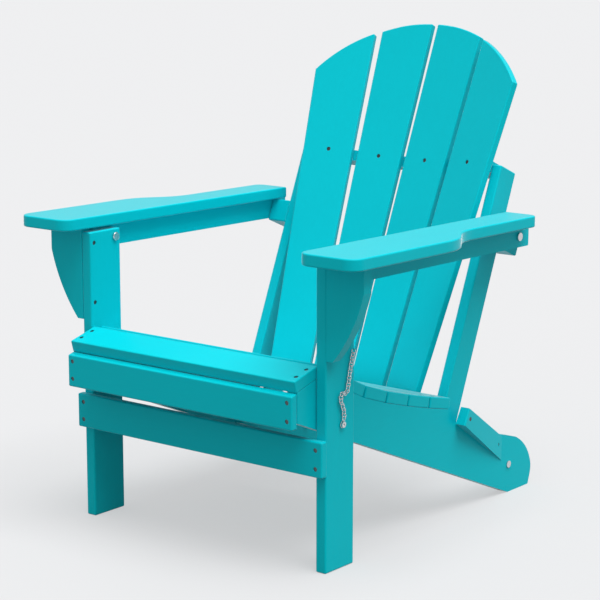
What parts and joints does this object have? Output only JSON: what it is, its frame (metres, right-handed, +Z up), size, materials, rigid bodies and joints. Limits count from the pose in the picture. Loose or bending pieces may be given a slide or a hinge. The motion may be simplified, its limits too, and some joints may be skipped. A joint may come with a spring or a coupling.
{
  "type": "adirondack_chair",
  "caption": "Folding slatted garden armchair in turquoise plastic lumber, with a fanned back, broad arms and chained lock pins.",
  "frame": {"origin": "on the floor, under the middle of the whole chair", "axes": "+X to the sitter's left, +Y to the rear, +Z up"},
  "size_m": [0.792, 0.819, 0.9132],
  "materials": {
    "lumber": "satin",
    "steel": "brushed"
  },
  "bodies": {
    "seat": {"apron_screws": "steel", "back_screws": "steel", "back_slat_1": "lumber", "back_slat_2": "lumber", "back_slat_3": "lumber", "back_slat_4": "lumber", "block_screws": "steel", "foot_bolts": "steel", "left_arm_spacer": "lumber", "left_back_upright": "lumber", "left_rail_block": "lumber", "left_seat_rail": "lumber", "lower_back_rail": "lumber", "rear_pivot_bolts": "steel", "right_arm_spacer": "lumber", "right_back_upright": "lumber", "right_rail_block": "lumber", "right_seat_rail": "lumber", "seat_apron": "lumber", "seat_front_slat": "lumber", "seat_screws": "steel", "seat_slat_2": "lumber", "seat_slat_3": "lumber", "seat_slat_4": "lumber", "seat_slat_5": "lumber", "seat_slat_6": "lumber", "seat_slat_7": "lumber", "upper_back_rail": "lumber", "upright_bolts": "steel"},
    "arms": {"right_arm": "lumber", "left_arm": "lumber", "right_arm_rail": "lumber", "left_arm_rail": "lumber", "front_pivot_bolts": "steel"},
    "legs": {"right_front_leg": "lumber", "left_front_leg": "lumber", "right_arm_bracket": "lumber", "left_arm_bracket": "lumber", "front_stretcher": "lumber", "stretcher_screws": "steel", "bracket_screws": "steel", "chain_anchors": "steel", "right_chain": "steel", "left_chain": "steel"},
    "left_pin": {"left_lock_pin": "steel"},
    "right_pin": {"right_lock_pin": "steel"}
  },
  "joints": [
    {"name": "arm_fold", "type": "hinge", "parent": "seat", "child": "arms", "pos_m": [0, 0.23396, 0.529], "axis": [1, 0, 0], "range_deg": [0, 22]},
    {"name": "leg_fold", "type": "hinge", "parent": "arms", "child": "legs", "pos_m": [0, -0.27504, 0.537], "axis": [1, 0, 0], "range_deg": [0, 33]},
    {"name": "left_pin_slide", "type": "slide", "parent": "legs", "child": "left_pin", "axis": [1, 0, 0], "range_m": [0, 0.03]},
    {"name": "right_pin_slide", "type": "slide", "parent": "legs", "child": "right_pin", "axis": [-1, 0, 0], "range_m": [0, 0.03]}
  ],
  "couplings": [
    {"joint": "leg_fold", "follows": "arm_fold", "ratio": 1.5}
  ]
}
